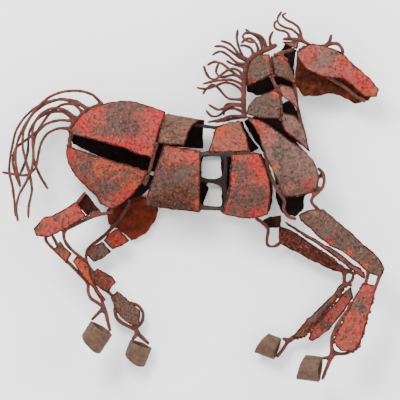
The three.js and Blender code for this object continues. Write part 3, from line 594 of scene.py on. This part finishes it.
def plate_material(node, shift):
    made = Nodes("finish_" + node)
    paint, dark = weathered_paint(made, node, shift)
    painted_face = rusted_rim(made, paint, shift)
    # The bare inner face: its rust, lit or darkened with painted shade
    light, deep = INNER_RUST.get(node, SHADED_CAVITY_RUST)
    bare_face_rust_and_shade = made.mix(made.patches(70, 7, 0.7, shift + 15, 0.42, 0.62), deep, light)
    surface = made.mix(made.attribute("outer"), bare_face_rust_and_shade, painted_face)
    made.tree.links.new(surface, made.shader.inputs["Base Color"])
    made.shader.inputs["Roughness"].default_value = 0.72
    made.shader.inputs["Specular IOR Level"].default_value = 0.1
    grain = made.math("ADD", made.cloud(240, 8, 0.78, shift + 17), made.math("MULTIPLY", dark, -0.5))
    made.bump(grain, PLATE_GRAIN, 0.8)
    return made.material


def rust_material(name, light, dark, accent, shift):
    """Two rusts in clouds, with patches of a third and black specks."""
    made = Nodes(name)
    surface = made.mix(made.patches(90, 7, 0.7, shift, 0.40, 0.62), dark, light)
    surface = made.mix(made.patches(60, 6, 0.7, shift + 2, 0.58, 0.72), surface, accent)
    specks = made.patches(300, 4, 0.6, shift + 4, 0.58, 0.66)
    surface = made.film(surface, specks, 0.8, BLACK_RUST_AND_SHADE)
    made.tree.links.new(surface, made.shader.inputs["Base Color"])
    made.shader.inputs["Roughness"].default_value = 0.78
    made.bump(made.cloud(320, 8, 0.75, shift + 6), ROD_GRAIN, 0.9)
    return made.material


def floor_material():
    made = Nodes("pale_floor")
    made.shader.inputs["Base Color"].default_value = (0.95, 0.95, 0.945, 1)
    made.shader.inputs["Roughness"].default_value = 0.9
    return made.material


# Stage, light and camera, in metres and watts
FLOOR_HALF = 12.0
SKY_STRENGTH = 1.8
KEY = {"place": (-1.2, 2.2, 3.4), "size": 1.6, "power": 225}
FILL = {"place": (2.6, 1.0, 3.0), "size": 2.4, "power": 74}
CAMERA_DISTANCE = 20.0
VIEW_WIDTH = 0.8
SENSOR_WIDTH = 36.0
FARTHEST = 100


def make_floor():
    mesh = bpy.data.meshes.new("floor")
    corners = [(x * FLOOR_HALF, y * FLOOR_HALF, 0) for x, y in ((-1, -1), (1, -1), (1, 1), (-1, 1))]
    mesh.from_pydata(corners, [], [(0, 1, 2, 3)])
    floor = bpy.data.objects.new("floor", mesh)
    bpy.context.scene.collection.objects.link(floor)
    mesh.materials.append(floor_material())


def area_light(name, place, size, power):
    data = bpy.data.lights.new(name, "AREA")
    data.size = size
    data.energy = power
    light = bpy.data.objects.new(name, data)
    light.location = place
    light.rotation_euler = (-Vector(place)).to_track_quat("-Z", "Y").to_euler()
    bpy.context.scene.collection.objects.link(light)


def make_light():
    world = bpy.data.worlds.new("studio")
    world.use_nodes = True
    world.node_tree.nodes["Background"].inputs["Color"].default_value = (1.0, 1.0, 1.0, 1)
    world.node_tree.nodes["Background"].inputs["Strength"].default_value = SKY_STRENGTH
    bpy.context.scene.world = world
    area_light("key", **KEY)
    area_light("fill", **FILL)


def make_camera():
    """A long lens straight above the middle of the view."""
    data = bpy.data.cameras.new("camera")
    data.sensor_width = SENSOR_WIDTH
    data.lens = data.sensor_width * CAMERA_DISTANCE / VIEW_WIDTH
    data.clip_end = FARTHEST
    camera = bpy.data.objects.new("camera", data)
    camera.location = VIEW_CENTRE + Vector((0, 0, NEAR_SKIN_HEIGHT + CAMERA_DISTANCE))
    bpy.context.scene.collection.objects.link(camera)
    bpy.context.scene.camera = camera


def finish_piece(piece, material):
    piece.data.materials.clear()
    piece.data.materials.append(material)


# The first seed of each kind of piece, and the step from one piece's seed to the next one's
PLATE_SEED = 100
ROD_SEED = 3000
HOOF_SEED = 5000
SEED_STEP = 40
SHIFT_STEP = 1.7


def make_plates():
    for index, node in enumerate(PLATES):
        piece = worked_plate(node, PLATE_SEED + SEED_STEP * index)
        finish_piece(piece, plate_material(node, index * SHIFT_STEP))


def make_rods():
    rims = tree_of([point for node in PLATES for point in rim_points(creased_copy(node))])
    # The outer rods' patches of orange rust also serve as painted highlights
    outer_finish = rust_material("finish_rods", MID_RUST, DARK_RUST, BAR_RUST_AND_HIGHLIGHT, 50)
    # The barrel frame's rods inside the body get darker rusts: painted shade
    shaded_inner_finish = rust_material("painted_shade_inner_rods", DARK_RUST, BLACK_RUST_AND_SHADE, MID_RUST, 55)
    for index, node in enumerate(RODS):
        piece = worked_rods(node, rims, ROD_SEED + SEED_STEP * index)
        finish_piece(piece, shaded_inner_finish if node == "barrel_frame" else outer_finish)


def make_hooves():
    finish = rust_material("finish_hooves", SCALE, SCALE_BROWN, SCALE_RUST, 60)
    for index, node in enumerate(HOOVES):
        finish_piece(worked_hoof(node, HOOF_SEED + SEED_STEP * index), finish)


make_floor()
make_light()
make_camera()
make_plates()
make_rods()
make_hooves()
